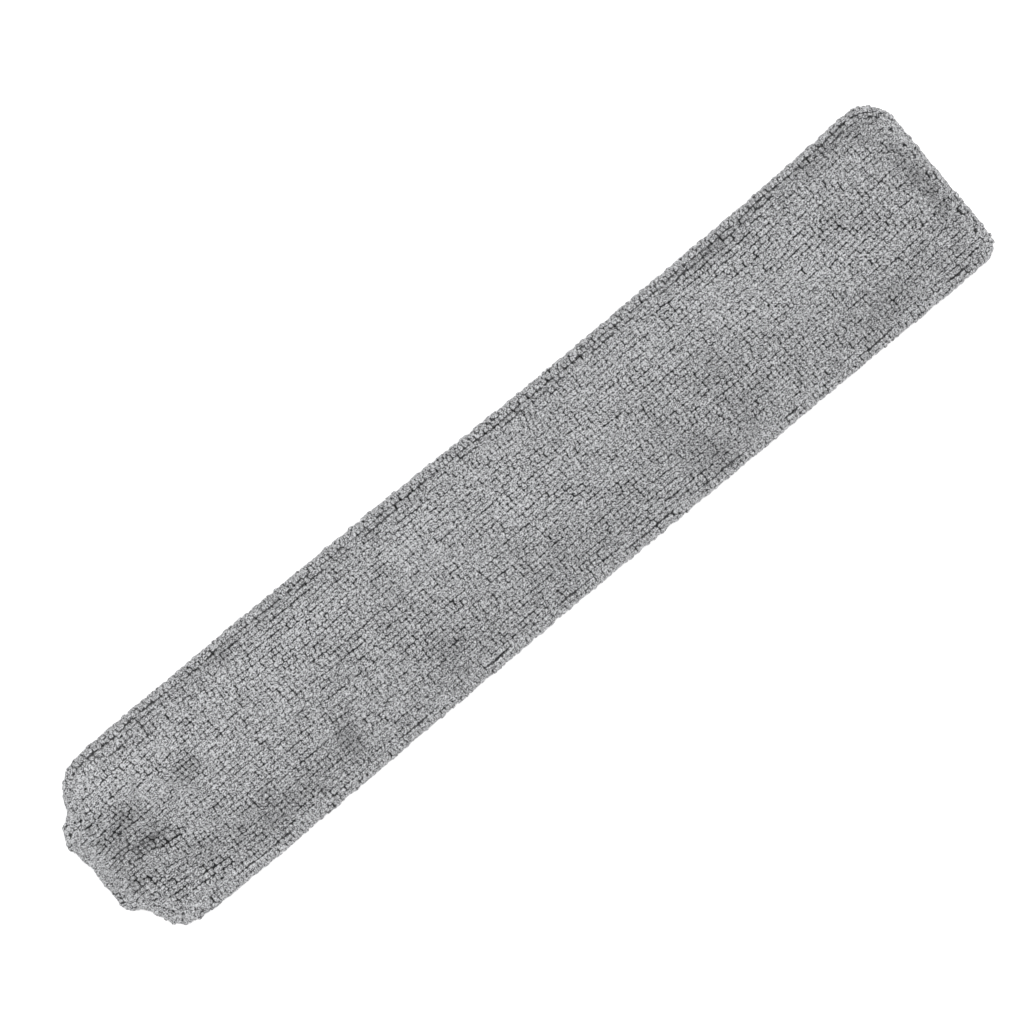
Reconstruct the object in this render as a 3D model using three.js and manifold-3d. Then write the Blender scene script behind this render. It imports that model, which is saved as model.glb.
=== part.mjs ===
// Cloth sleeve of a gap duster, empty and lying flat. Two panels of looped terry cloth are joined by an
// overlocked seam along both long sides and the tip, with the raw edges turned inwards. The seam shows on the
// front, a little inside the outline. At the mouth each panel folds inwards to make a hem, and an elastic band
// in the hem gathers the cloth. The pocket inside takes the duster's flat blade.
// Millimetres, +Z up. X runs from the mouth to the tip, and the origin is on the surface that the sleeve lies
// on, under the middle of its box.
import * as THREE from "three";
import { mergeVertices } from "three/addons/utils/BufferGeometryUtils.js";
import Module from "manifold-3d";

const wasm = await Module();
wasm.setup();

// Whole sleeve
const sleeveLength = 600;
const sleeveWidth = 114;
const bodyHeight = 11.6;
const crownRise = 0.6;
const clothThickness = 2.4;
const upperTipRadius = 16;
const lowerTipRadius = 8;
const clearance = 0.3;

// The two long edges from the shoulder to the tip: share of the length, share of half the width
const upperEdgeShares = [
  [0, 0.985], [0.13, 0.992], [0.25, 0.985], [0.4, 0.972], [0.5, 0.95], [0.62, 0.942],
  [0.75, 0.94], [0.86, 0.955], [0.93, 0.985], [0.97, 1], [1, 1],
];
const lowerEdgeShares = [
  [0, 0.985], [0.13, 1], [0.25, 0.98], [0.4, 0.965], [0.5, 0.948], [0.62, 0.95],
  [0.75, 0.957], [0.86, 0.945], [0.93, 0.955], [0.97, 0.97], [1, 0.97],
];

// Seam along both sides and the tip
const seamInset = 4.5;
const seamAllowance = 6.5;
const allowancePly = 1.2;
const seamStart = 46;
const threadThickness = 0.4;
const overlockReach = 2.3;
const needleThreadWidth = 0.6;
const needleThreadInset = 7;
const tipSeamLength = 14;
const leastCornerRadius = 2;

// Mouth: hem, elastic and gathers
const mouthWidth = 59;
const hemRootWidth = 70;
const hemDepth = 13;
const shoulderLength = 26;
const mouthGap = 5;
const hemPly = 1.5;
const hemFacing = 1.2;
const hemFold = 1.5;
const facingDepth = 12.5;
const elasticThickness = 0.7;
const elasticWidth = 8;
const elasticStart = 2.6;
const hemThread = 0.7;
const pleatCount = 4;
const frontPleat = 1.6;
const backPleat = 0.6;
const pleatReach = 100;

// Overrun of every cut, and how finely the surfaces are drawn
const overrun = 5;
const mergeDistance = 1e-4;
const leastStep = 0.5;
const clothColumns = 16;
const pocketColumns = 2;
const edgeSteps = 3;
const cornerAngles = [0, 45, 90];
const shoulderAngles = [30, 60, 90];
const gatherShares = [0.35, 0.7, 1];
const bodyShares = [0.3, 0.45, 0.62, 0.8, 0.93];

const upper = 1;
const lower = -1;
const hemStack = hemPly + elasticThickness + hemFacing + 2 * clearance;
const hemHeight = mouthGap + 2 * hemStack;
const shoulderEnd = hemDepth + shoulderLength;
const seamEdge = seamInset + seamAllowance;
const pocketTop = bodyHeight - clothThickness;

const sin = (degrees) => Math.sin(THREE.MathUtils.degToRad(degrees));
const cos = (degrees) => Math.cos(THREE.MathUtils.degToRad(degrees));
const arc = (radius, along) => Math.sqrt(Math.max(0, radius * radius - along * along));
const { clamp, lerp, smoothstep } = THREE.MathUtils;

// Value of a table of shares at a share of the length
function sharedAt(table, share) {
  const next = Math.max(1, table.findIndex(([place]) => place >= share));
  const [[from, low], [to, high]] = [table[next - 1], table[next]];
  return lerp(low, high, (share - from) / (to - from));
}

// Half the width of the body on one side, before the shoulder and the tip's corner are taken off
function bodyEdge(s, side) {
  const table = side === upper ? upperEdgeShares : lowerEdgeShares;
  const share = clamp(s / sleeveLength, 0, 1);
  return (sleeveWidth / 2) * sharedAt(table, share);
}

function cornerRadius(side, inset) {
  const outer = side === upper ? upperTipRadius : lowerTipRadius;
  return Math.max(outer - inset, leastCornerRadius);
}

// Distance from the middle line to one side of the outline, drawn in by an inset, at s from the mouth
function halfWidth(s, inset, side) {
  if (s <= hemDepth + inset) {
    const share = clamp(s / hemDepth, 0, 1);
    return lerp(mouthWidth, hemRootWidth, share) / 2 - inset;
  }
  if (s < shoulderEnd) {
    const root = hemRootWidth / 2;
    const reach = shoulderLength - inset;
    const rise = (bodyEdge(shoulderEnd, side) - root) / reach;
    return root - inset + rise * arc(reach, shoulderEnd - s);
  }
  const radius = cornerRadius(side, inset);
  const past = s - (sleeveLength - inset - radius);
  const edge = bodyEdge(s, side) - inset;
  return past > 0 ? edge - radius + arc(radius, past) : edge;
}

// 1 in the hem, falling to 0 where the gathers end
const gathered = (s) => 1 - smoothstep(s, hemDepth, pleatReach);
const sleeveHeight = (s) => lerp(bodyHeight, hemHeight, gathered(s));
const middleZ = (s) => backPleat * gathered(s) + sleeveHeight(s) / 2;

function halfHeight(s, inset) {
  const roll = bodyHeight / 2;
  const past = s - (sleeveLength - roll);
  return past > 0 ? arc(roll - inset, past) : sleeveHeight(s) / 2 - inset;
}

// Cloth thickness: the hem is pressed flatter than the body
const plyAt = (s) => lerp(hemPly, clothThickness, smoothstep(s, hemDepth, shoulderEnd));

// Rise of a pleat, where v runs from -1 at the lower edge to 1 at the upper one, with a crease at 0
function pleat(s, v, rise) {
  const fold = (1 - Math.cos(Math.PI * pleatCount * v)) / 2;
  const fade = 1 - v ** 6;
  return rise * gathered(s) * fold * fade;
}

// One cross-section: y, top and bottom from the lower edge to the upper one
function section(s, inset, columns, pleated) {
  const rise = halfHeight(s, inset);
  const middle = middleZ(s);
  const flatUpper = Math.max(halfWidth(s, inset, upper) - rise, 0);
  const flatLower = Math.max(halfWidth(s, inset, lower) - rise, 0);
  const crown = (1 - gathered(s)) * Math.min(crownRise, halfHeight(s, 0));
  const points = [];
  for (let k = 0; k < edgeSteps; k++) {
    const angle = (90 * k) / edgeSteps;
    const z = rise * sin(angle);
    points.push({ y: -flatLower - rise * cos(angle), top: middle + z, bottom: middle - z });
  }
  for (let k = 0; k <= columns; k++) {
    const v = (2 * k) / columns - 1;
    const front = pleated ? pleat(s, v, frontPleat) : 0;
    const back = pleated ? pleat(s, v, backPleat) : 0;
    points.push({
      y: lerp(-flatLower, flatUpper, k / columns),
      top: middle + rise + crown * (1 - v * v) + front,
      bottom: middle - rise - back,
    });
  }
  for (let k = edgeSteps - 1; k >= 0; k--) {
    const angle = (90 * k) / edgeSteps;
    const z = rise * sin(angle);
    points.push({ y: flatUpper + rise * cos(angle), top: middle + z, bottom: middle - z });
  }
  return points;
}

// Distances from the mouth at which a surface at an inset is drawn, close together where it curves
function rowsFor(inset) {
  const rows = [0, hemDepth / 2, hemDepth];
  shoulderAngles.forEach((angle) => rows.push(hemDepth + shoulderLength * (1 - cos(angle))));
  gatherShares.forEach((share) => rows.push(lerp(shoulderEnd, pleatReach, share)));
  bodyShares.forEach((share) => rows.push(share * sleeveLength));
  const end = sleeveLength - inset;
  const radii = [cornerRadius(upper, inset), cornerRadius(lower, inset), bodyHeight / 2 - inset];
  for (const radius of radii.filter((r) => r > 0))
    for (const angle of cornerAngles) rows.push(end - radius * (1 - sin(angle)));
  const sorted = rows.filter((s) => s <= end).sort((a, b) => a - b);
  const kept = sorted.filter((s, i) => i === 0 || s - sorted[i - 1] > leastStep);
  kept[kept.length - 1] = end;
  return kept;
}

// A manifold solid from three.js geometry, with its shared vertices merged
function solidOf(geometry) {
  const bare = geometry.clone();
  bare.deleteAttribute("normal");
  bare.deleteAttribute("uv");
  const merged = mergeVertices(bare, mergeDistance);
  const index = merged.index.array;
  const kept = [];
  for (let i = 0; i < index.length; i += 3) {
    const [a, b, c] = index.slice(i, i + 3);
    if (a !== b && b !== c && c !== a) kept.push(a, b, c);
  }
  const vertProperties = merged.attributes.position.array;
  return new wasm.Manifold(
    new wasm.Mesh({ numProp: 3, vertProperties, triVerts: new Uint32Array(kept) }),
  );
}

// A solid like a pillow: a top and a bottom sheet over the same rows, closed at both ends
function pillow(rows, sectionAt) {
  const positions = [];
  const index = [];
  const sections = rows.map(sectionAt);
  const columns = sections[0].length;
  for (const level of ["top", "bottom"])
    sections.forEach((points, r) => points.forEach((p) => positions.push(rows[r], p.y, p[level])));
  const top = (r, i) => r * columns + i;
  const bottom = (r, i) => (rows.length + r) * columns + i;
  const quad = (a, b, c, d) => index.push(a, b, c, a, c, d);
  const last = rows.length - 1;
  for (let i = 0; i + 1 < columns; i++) {
    for (let r = 0; r < last; r++) {
      quad(top(r, i), top(r + 1, i), top(r + 1, i + 1), top(r, i + 1));
      quad(bottom(r, i), bottom(r, i + 1), bottom(r + 1, i + 1), bottom(r + 1, i));
    }
    quad(bottom(0, i), top(0, i), top(0, i + 1), bottom(0, i + 1));
    quad(bottom(last, i), bottom(last, i + 1), top(last, i + 1), top(last, i));
  }
  const geometry = new THREE.BufferGeometry();
  geometry.setAttribute("position", new THREE.Float32BufferAttribute(positions, 3));
  geometry.setIndex(index);
  return solidOf(geometry);
}

// The space inside an inset surface along a stretch of the hem, run on past both ends to make a clean cut
function hemTube(inset, from, to, beyond) {
  const rows = beyond > 0 ? [from - beyond, from, to, to + beyond] : [from, to];
  return pillow(rows, (s) => section(clamp(s, from, to), inset, pocketColumns, false));
}

// A ring of the hem, between two inset surfaces
function hemRing(outerInset, innerInset, from, to) {
  return hemTube(outerInset, from, to, 0).subtract(hemTube(innerInset, from, to, overrun));
}

// A straight-sided solid over the sleeve's outline, drawn in by an inset
function plan(inset, from, bottom, top) {
  const rows = [from, ...rowsFor(inset).filter((s) => s > from + leastStep)];
  const edge = (side) => (s) => new THREE.Vector2(s, side * halfWidth(Math.max(s, 0), inset, side));
  const outline = [...rows.map(edge(lower)), ...rows.map(edge(upper)).reverse()];
  const options = { depth: top - bottom, bevelEnabled: false };
  const geometry = new THREE.ExtrudeGeometry(new THREE.Shape(outline), options);
  return solidOf(geometry.translate(0, 0, bottom));
}

// A flat band that follows the sides and the tip, between two insets
function seamBand(outerInset, innerInset, bottom, top) {
  const inside = plan(innerInset, seamStart - overrun, bottom - overrun, top + overrun);
  return plan(outerInset, seamStart, bottom, top).subtract(inside);
}

function block(lowCorner, highCorner) {
  const size = highCorner.clone().sub(lowCorner);
  const centre = lowCorner.clone().add(highCorner).divideScalar(2);
  return solidOf(new THREE.BoxGeometry(...size).translate(...centre));
}

// The whole cloth: the outer surface less the pocket, which is open at the mouth
function clothShell() {
  const cloth = (s) => section(s, 0, clothColumns, true);
  const pocket = (s) => section(Math.max(s, 0), plyAt(s), pocketColumns, false);
  const inner = [-overrun, ...rowsFor(clothThickness)];
  return pillow(rowsFor(0), cloth).subtract(pillow(inner, pocket));
}

// The part of the hem that is folded inwards, with the fold at the mouth
function turnedHem() {
  const facing = hemRing(hemStack - hemFacing, hemStack, 0, facingDepth);
  const fold = pillow([0, hemFold], (s) => section(s, hemPly / 2, clothColumns, true));
  return facing.add(fold.subtract(hemTube(hemStack, 0, hemFold, overrun)));
}

// Levels inside the pocket, from its top down: thread, front allowance, back allowance, thread
const threadTop = pocketTop - clearance;
const frontAllowanceTop = threadTop - threadThickness - clearance;
const backAllowanceTop = frontAllowanceTop - allowancePly - clearance;
const threadBottom = backAllowanceTop - allowancePly - clearance - threadThickness;

function frontPanel(cloth) {
  const cutInset = seamInset + clearance / 2;
  const bottom = frontAllowanceTop - allowancePly;
  const window = plan(cutInset, -overrun, middleZ(0), hemHeight + overrun);
  const allowance = seamBand(cutInset, seamEdge, bottom, frontAllowanceTop);
  const turn = seamBand(cutInset, cutInset + allowancePly, bottom, pocketTop + clothThickness / 2);
  return cloth.intersect(window).add(allowance).add(turn);
}

function backPanel(cloth) {
  const cutInset = seamInset - clearance / 2;
  const window = plan(cutInset, -2 * overrun, middleZ(0), hemHeight + 2 * overrun);
  const rootInset = (2 * clothThickness) / 3;
  const bottom = backAllowanceTop - allowancePly;
  const allowance = seamBand(rootInset, seamEdge, bottom, backAllowanceTop);
  return cloth.subtract(window).add(allowance);
}

// The looper threads of the overlock, which wrap round the two raw edges
function overlockThread() {
  const web = seamEdge + clearance;
  const edge = web + threadThickness;
  const root = edge - overlockReach;
  const upperLeg = seamBand(root, edge, threadTop - threadThickness, threadTop);
  const lowerLeg = seamBand(root, edge, threadBottom, threadBottom + threadThickness);
  return seamBand(web, edge, threadBottom, threadTop).add(upperLeg).add(lowerLeg);
}

// The needle thread, which lies along the seam on the front allowance
function needleThread() {
  const inner = needleThreadInset + needleThreadWidth;
  return seamBand(needleThreadInset, inner, threadTop - threadThickness, threadTop);
}

// The part of a seam thread that belongs to one run: an upper side, a lower side or the tip
function runOf(thread, run) {
  const far = sleeveLength + sleeveWidth;
  const tipStart = sleeveLength - seamEdge - tipSeamLength / 2;
  const from = run === "tip" ? tipStart + clearance : -overrun;
  const to = run === "tip" ? far : tipStart;
  const low = new THREE.Vector3(from, run === "upper" ? 0 : -far, -far);
  const high = new THREE.Vector3(to, run === "lower" ? 0 : far, far);
  return thread.intersect(block(low, high));
}

const materials = {
  cloth: new THREE.MeshStandardMaterial({ color: 0x9a9b9d, roughness: 0.95, metalness: 0 }),
  elastic: new THREE.MeshStandardMaterial({ color: 0xd8d8d4, roughness: 0.8, metalness: 0 }),
  thread: new THREE.MeshStandardMaterial({ color: 0x8c8e90, roughness: 0.7, metalness: 0 }),
};

function meshOf(name, solid, material) {
  const { numProp, vertProperties, triVerts } = solid.getMesh();
  const data = new THREE.InterleavedBuffer(vertProperties, numProp);
  const geometry = new THREE.BufferGeometry();
  geometry.setAttribute("position", new THREE.InterleavedBufferAttribute(data, 3, 0));
  geometry.setIndex(new THREE.BufferAttribute(triVerts, 1));
  const bare = geometry.toNonIndexed();
  bare.computeVertexNormals();
  const mesh = new THREE.Mesh(bare, material);
  mesh.name = name;
  return mesh;
}

const sleeve = new THREE.Group();
sleeve.position.x = -sleeveLength / 2;

const cloth = clothShell().add(turnedHem());
sleeve.add(meshOf("front_panel", frontPanel(cloth), materials.cloth));
sleeve.add(meshOf("back_panel", backPanel(cloth), materials.cloth));

const elasticInset = hemPly + clearance;
const elasticEnd = elasticStart + elasticWidth;
const elastic = hemRing(elasticInset, elasticInset + elasticThickness, elasticStart, elasticEnd);
sleeve.add(meshOf("elastic_band", elastic, materials.elastic));

const hemThreadInset = hemStack - (hemFacing + hemThread) / 2;
const hemThreadStart = facingDepth + clearance;
const hemStitches = hemRing(
  hemThreadInset,
  hemThreadInset + hemThread,
  hemThreadStart,
  hemThreadStart + hemThread,
);
sleeve.add(meshOf("hem_stitch_thread", hemStitches, materials.thread));

for (const run of ["upper", "lower", "tip"]) {
  const place = run === "tip" ? "tip" : `${run}_side`;
  sleeve.add(meshOf(`${place}_overlock_thread`, runOf(overlockThread(), run), materials.thread));
  sleeve.add(meshOf(`${place}_needle_thread`, runOf(needleThread(), run), materials.thread));
}

export default sleeve;
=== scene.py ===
# Looks of an empty gap duster sleeve lying flat: two panels of looped microfibre cloth, sewn together
# round both long sides and the tip and gathered at the mouth by elastic in the hem. Metres. +X runs from
# the mouth to the tip, and the places along it below are measured from the mouth. +Z is up.
import math

import bmesh
import bpy
import numpy as np
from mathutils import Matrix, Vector
from mathutils.kdtree import KDTree


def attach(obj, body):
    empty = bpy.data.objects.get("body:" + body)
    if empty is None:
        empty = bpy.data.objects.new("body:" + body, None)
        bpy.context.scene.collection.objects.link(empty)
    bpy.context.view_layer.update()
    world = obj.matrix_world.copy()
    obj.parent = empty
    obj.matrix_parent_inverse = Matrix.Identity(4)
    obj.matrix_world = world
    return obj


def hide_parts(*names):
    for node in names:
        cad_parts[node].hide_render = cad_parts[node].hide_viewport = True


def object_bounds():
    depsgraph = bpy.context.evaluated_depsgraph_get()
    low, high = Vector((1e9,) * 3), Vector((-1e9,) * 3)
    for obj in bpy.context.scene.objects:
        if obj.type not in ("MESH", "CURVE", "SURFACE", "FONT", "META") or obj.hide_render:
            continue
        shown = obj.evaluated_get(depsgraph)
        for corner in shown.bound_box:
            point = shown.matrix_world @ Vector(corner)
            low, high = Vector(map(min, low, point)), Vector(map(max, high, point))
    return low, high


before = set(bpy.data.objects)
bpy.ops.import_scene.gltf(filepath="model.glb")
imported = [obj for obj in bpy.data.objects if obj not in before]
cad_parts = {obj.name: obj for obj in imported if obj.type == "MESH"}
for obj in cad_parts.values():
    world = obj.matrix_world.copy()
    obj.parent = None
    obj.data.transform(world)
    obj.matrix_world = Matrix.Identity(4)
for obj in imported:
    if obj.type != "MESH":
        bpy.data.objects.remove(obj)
cad_low, cad_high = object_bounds()

# Whole sleeve
TIP_CLEARANCE = 0.0005
LENGTH = cad_high.x - cad_low.x - TIP_CLEARANCE
HALF_WIDTH = (cad_high.y - cad_low.y) / 2
MOUTH_X = cad_low.x
BODY_HEIGHT = 0.0116
HEM_HEIGHT = 0.0128
CROWN_RISE = 0.0006
CORNER_RADIUS = {1: 0.0188, -1: 0.0116}
LEAST_RADIUS = 0.0015

# Long edges: share of the length, share of half the width
UPPER_EDGE_SHARES = [
    (0, 0.950), (0.07, 0.961), (0.13, 0.972), (0.18, 0.967), (0.25, 0.973), (0.33, 0.969), (0.42, 0.966),
    (0.5, 0.945), (0.58, 0.931), (0.67, 0.932), (0.75, 0.937), (0.83, 0.943), (0.88, 0.955), (0.92, 0.968),
    (0.96, 0.987), (1, 0.985),
]
LOWER_EDGE_SHARES = [
    (0, 0.982), (0.07, 0.989), (0.13, 0.996), (0.19, 0.987), (0.25, 0.986), (0.33, 0.974), (0.42, 0.970),
    (0.5, 0.956), (0.58, 0.964), (0.67, 0.963), (0.75, 0.959), (0.88, 0.957), (0.92, 0.958), (0.96, 0.955),
    (1, 0.947),
]
EDGE_SHARES = {1: UPPER_EDGE_SHARES, -1: LOWER_EDGE_SHARES}

# Hem and shoulder on each side: place along, distance from the middle line
SHOULDER = {
    1: [
        (0.0035, 0.0312), (0.008, 0.0358), (0.0144, 0.0370), (0.0171, 0.0418), (0.0224, 0.0481),
        (0.0294, 0.0529), (0.037, 0.0540), (0.047, 0.0545),
    ],
    -1: [
        (0.0035, 0.0306), (0.008, 0.0362), (0.0133, 0.0380), (0.0171, 0.0412), (0.0203, 0.0486),
        (0.0262, 0.0540), (0.0337, 0.0558), (0.047, 0.0562),
    ],
}
MOUTH_START = 0.0035
SHOULDER_END = 0.047
SHOULDER_BLEND_SHARE = 0.25

# Gathers: their line, reach and hollow, and the pleats of the underside
GATHER_LINE = 0.0175
GATHER_REACH = 0.1
GATHER_DEPTH = 0.0014
GATHER_WIDTH = 0.0024
PLEAT_HEIGHT = 0.0006
PLEAT_PITCH = 0.016
PLEAT_FADE = (0.003, 0.012)
# Relief of the front fades in over these distances from the outline
RELIEF_FADE = (0.002, 0.011)
CROWN_REACH = 0.04

# Seam: how far inside the outline it shows on the front, by share of the length on each side, and at the tip
SEAM_SHARES_PLACE = [0, 0.1, 0.35, 0.6, 0.85, 1]
SEAM_INSET = {
    1: [0.0052, 0.0050, 0.0054, 0.0060, 0.0045, 0.0038],
    -1: [0.0040, 0.0034, 0.0032, 0.0030, 0.0028, 0.0030],
}
ROW_FROM_SEAM = {1: 0.00175, 0: 0.00130, -1: 0.00125}
TIP_SEAM_INSET = 0.0032
SEAM_DEPTH = {1: 0.0022, 0: 0.0002, -1: 0.0003}
SEAM_FLAT = 0.015
SEAM_WIDTH = 0.0010
SEAM_ALLOWANCE = 0.0065
ALLOWANCE_DROP = 0.0022
SEAM_WANDER = ((0.00035, 0.0085), (0.00025, 0.0047))
SEAM_DIP_FALL = 6
LEAST_RISE_SHARE = 0.05
ALLOWANCE_STEPS = (0.0002, 0.0016, 0.004, SEAM_ALLOWANCE)
FRONT_DROP_SHARES = (0.5, 1, 1, 1)
BACK_DROP_SHARES = (0.7, 1.6, 1.6, 1.6)

# Hem: the cloth folds in at the mouth
HEM_END = 0.020
FACING_DEPTH = 0.012
FACING_DEPTHS = (0.004, 0.008, FACING_DEPTH)
FACING_FLARE = 6
FACING_INSET = 0.0032
FOLD_REACH = 0.0029
# The fold's rows: share of the way down to the facing, place ahead of the edge
FOLD_ROWS = ((0.25, -0.0007), (0.6, -0.0011), (0.85, -0.0007), (1, 0))
FOLD_TURN = (0.018, 0.026)
# Where the mouth's edge lies across the hem: distance from the middle line, place along
MOUTH_EDGE = [
    (-0.036, 0.0125), (-0.032, 0.0092), (-0.0277, 0.0066), (-0.0219, 0.0046), (-0.0175, 0.0054),
    (-0.0110, 0.0052), (-0.0057, 0.0053), (0.0025, 0.0062), (0.0087, 0.0044), (0.0140, 0.0042),
    (0.0168, 0.0036), (0.0187, 0.0014), (0.0205, 0.0034), (0.0228, 0.0046), (0.0262, 0.0056),
    (0.0300, 0.0072), (0.0325, 0.0098), (0.036, 0.0140),
]

# Creases of the gathers and the hem: start, end, depth, width
CREASES = [
    ((0.019, -0.0024), (0.031, -0.0034), 0.0034, 0.0015),
    ((0.031, -0.0034), (0.036, -0.005), 0.0034, 0.0017),
    ((0.036, -0.005), (0.0585, -0.011), 0.003, 0.0018),
    ((0.0275, -0.0072), (0.0407, -0.0118), 0.0026, 0.0013),
    ((0.0407, -0.0118), (0.056, -0.0132), 0.002, 0.0014),
    ((0.0186, -0.0088), (0.035, -0.0106), 0.0022, 0.0013),
    ((0.018, -0.0175), (0.031, -0.0228), 0.0026, 0.0018),
    ((0.018, 0.008), (0.044, 0.0135), 0.0018, 0.0026),
    ((0.018, 0.019), (0.046, 0.029), 0.0014, 0.0022),
    ((0.018, 0.0275), (0.036, 0.042), 0.0014, 0.002),
    ((0.018, -0.029), (0.036, -0.04), 0.0012, 0.002),
    ((0.036, 0.037), (0.0498, 0.0395), 0.0018, 0.0012),
    ((0.0498, 0.0395), (0.084, 0.0417), 0.0022, 0.0012),
    ((0.005, 0.0181), (0.014, 0.0184), 0.0014, 0.001),
    ((0.005, 0.028), (0.0127, 0.0266), 0.0012, 0.001),
    ((0.0127, 0.0266), (0.019, 0.0253), 0.0012, 0.001),
    ((0.006, 0.006), (0.015, 0.004), 0.0008, 0.001),
    ((0.005, -0.0064), (0.0148, -0.0053), 0.0014, 0.001),
    ((0.006, -0.02), (0.0155, -0.019), 0.001, 0.0012),
]
# Soft rises and hollows of the front: place along, across, reach, height
SWELLS = [
    (0.031, 0.003, 0.006, 0.001), (0.037, 0.029, 0.009, 0.0013), (0.027, -0.013, 0.006, 0.001),
    (0.036, -0.032, 0.011, 0.001), (0.034, 0.041, 0.009, 0.001), (0.06, 0.026, 0.016, 0.001),
    (0.058, -0.024, 0.014, 0.0008), (0.055, -0.002, 0.008, 0.0008), (0.1, -0.008, 0.022, 0.0007),
    (0.0335, 0.0088, 0.005, -0.0018), (0.0337, 0.0145, 0.005, -0.0022), (0.042, 0.013, 0.006, -0.0016),
    (0.0798, 0.0126, 0.0075, -0.0022), (0.0816, -0.0126, 0.006, -0.0016), (0.0228, 0.0035, 0.0045, -0.0016),
    (0.0425, -0.0058, 0.0035, -0.0018), (0.0278, -0.0214, 0.004, -0.0018), (0.0578, -0.0354, 0.006, -0.0014),
    (0.0296, -0.0347, 0.005, -0.0014),
]
# Low waves of the whole front: length along, length across, phase, height
WAVES = [
    (0.071, 0.047, 0.4, 0.00045), (0.043, 0.083, 2.1, 0.00035),
    (0.117, 0.061, 4.4, 0.0004), (0.031, 0.039, 5.2, 0.00022),
]
CREASE_FADE_SHARE = 0.6

# How finely the cloth is drawn
SIDE_STATIONS = 190
CORNER_STATIONS = 8
TIP_STATIONS = 36
ROLL_STEPS = 9
EDGE_STEPS = (0, 0.0003, 0.0007, 0.0012, 0.0018, 0.0027, 0.0042)
RING_STEP = 0.0005
RING_REACH = 0.0151
CORNER_PULL = 12
TIP_PULL = 24

# Elastic in the hem
ELASTIC_START = 0.0068
ELASTIC_WIDTH = 0.008
ELASTIC_THICKNESS = 0.0007
ELASTIC_DEPTH = 0.0016
ELASTIC_CORDS = 8
ELASTIC_STATIONS = 240
PUCKERS = 46
PUCKER_HEIGHT = 0.00008
ELASTIC_EDGE = 0.00008

# Thread: its thickness, its stitches, the outline's points without thread at the mouth, and how the
# seam's two plies lie below the crease
THREAD = 0.0004
THREAD_SIDES = 5
THREAD_STEP = 0.00035
POINTS_LEFT_OUT = 6
STITCH = 0.0028
PLIES_BELOW_CREASE = 0.00285
PLIES_HALF = 0.00195
NEEDLE_LINE = 0.0025
OVERLOCK_WIDTH = 0.0040
HEM_STITCH_PLACE = 0.0158
HEM_STITCH_DEPTH = 0.0017
HEM_STITCH_REACH = 0.0013
HEM_STITCHES = 44

# Cloth, and the loops of its pile
CLOTH = 0.0011
PILE_REACH = 0.0013
TUFT_ALONG = 0.00275
TUFT_ACROSS = 0.00293
TUFT_LENGTH = 0.0034
TUFT_WIDTH = 0.0035
TUFT_HEIGHT = 0.0038
TUFT_SINK = 0.0006
TUFT_SQUARENESS = 5.4
TUFT_SIDES = 8
FRONT_TUFT_SIDES = 10
TUFT_LEAN = 0.05
TUFT_TWIST = 0.4
LEAN_LARGE = 0.04
LEAN_SMALL = 0.03
LUMPINESS = 0.0010
LUMPS_PER_METRE = 520.0
LEAST_HEIGHT = 0.0001
# Shapes of a loop: how far the hollow in its top is drawn out along it, and the hollow's depth
LOOP_SHAPES = [(1.0, 0.30), (0.2, 0.40), (1.0, 0.10)]
HOLLOW_REACH = 0.4
SEED = 7
RIM_SEED = 40
BACK_SEED = 60
MOUTH_SEED = 80

# Rows of loops. Ripples are size, reach along and reach across; wanders are loops taken in and size
ROW_SLIP = 0.00045
ROW_SLANT = 0.05
ROW_DRIFT = ((0.0010, 0.043, math.inf), (0.0006, 0.017, 0.03))
ROW_SHAKE = ((0.00015, 0.0036, -0.0064), (0.00010, 0.0019, 0.0029))
ROW_SHIFT = ((0.0006, 0.031, 0.012),)
ROW_STAGGER = ((0.00025, 0.0052, 0.0041),)
ROW_WANDER = ((24, 0.0004), (8, 0.00007))
LOOP_JITTER = (0.00020, 0.00015)
STEP_JITTER = 0.00022
LINE_JITTER = 0.00015
GATHERED_SHARE = 0.25
GATHERED_END = 0.085
FRONT_BORDER = TUFT_ACROSS * 0.44
FIELD_GAP = TUFT_ACROSS * 0.6
BACK_BORDER = 0.0063
BACK_TIP_BORDER = 0.0065
FIRST_LOOP = 0.0006
SLOPE_STEP = 0.0006
# Loops beside a crease, and on the slopes of deep hollows
BESIDE_CREASE = 0.0014
FULL_CREASE = 0.0022
BESIDE_SIZE = 0.92
OPEN_DEPTH = 0.003
OPEN_SHARE = 0.16
STEEPEST = 1.3
# Filling in: spots tried, and how far from any loop a spot counts as bare
BARE_STEP = 0.001
BARE_REACH = 0.00235
BARE_REACH_ENDS = 0.0019
BARE_REACH_BESIDE = 0.0021
BARE_REACH_LIP = 0.0015
LIP_WIDTH = 0.0045
SEAM_SIDE = 0.012
FILLED_WIDTH = 0.9
# The rolled edge
RIM_ROWS = 6
RIM_TUFT_LENGTH = 0.0029
RIM_UNEVENNESS = 0.0006
RIM_END = math.radians(78)
RIM_TURN_JITTER = 0.04
# The mouth: how far round the fold each row lies in degrees, and how far inside
MOUTH_ROWS = (
    (10, 0), (50, 0), (90, 0), (130, 0), (170, 0), (180, TUFT_ALONG), (180, 2 * TUFT_ALONG),
)
MOUTH_STATIONS = 400
MOUTH_PITCH = TUFT_ACROSS * 0.86
MOUTH_TUFT_SIZE = 0.82
MOUTH_JITTER = 0.0002

# Painted light and shade across the front, as a share of the loops' colour: from the lower edge (-1) to the
# upper one (1)
PAINTED_LIGHT_ACROSS = [
    (-1, 1.0), (-0.92, 0.93), (-0.8, 0.80), (-0.45, 0.81), (-0.28, 0.87), (0, 0.92), (0.35, 0.97),
    (0.46, 1.02), (0.60, 1.02), (0.70, 0.90), (0.82, 0.80), (0.88, 0.82), (1, 0.90),
]
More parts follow.
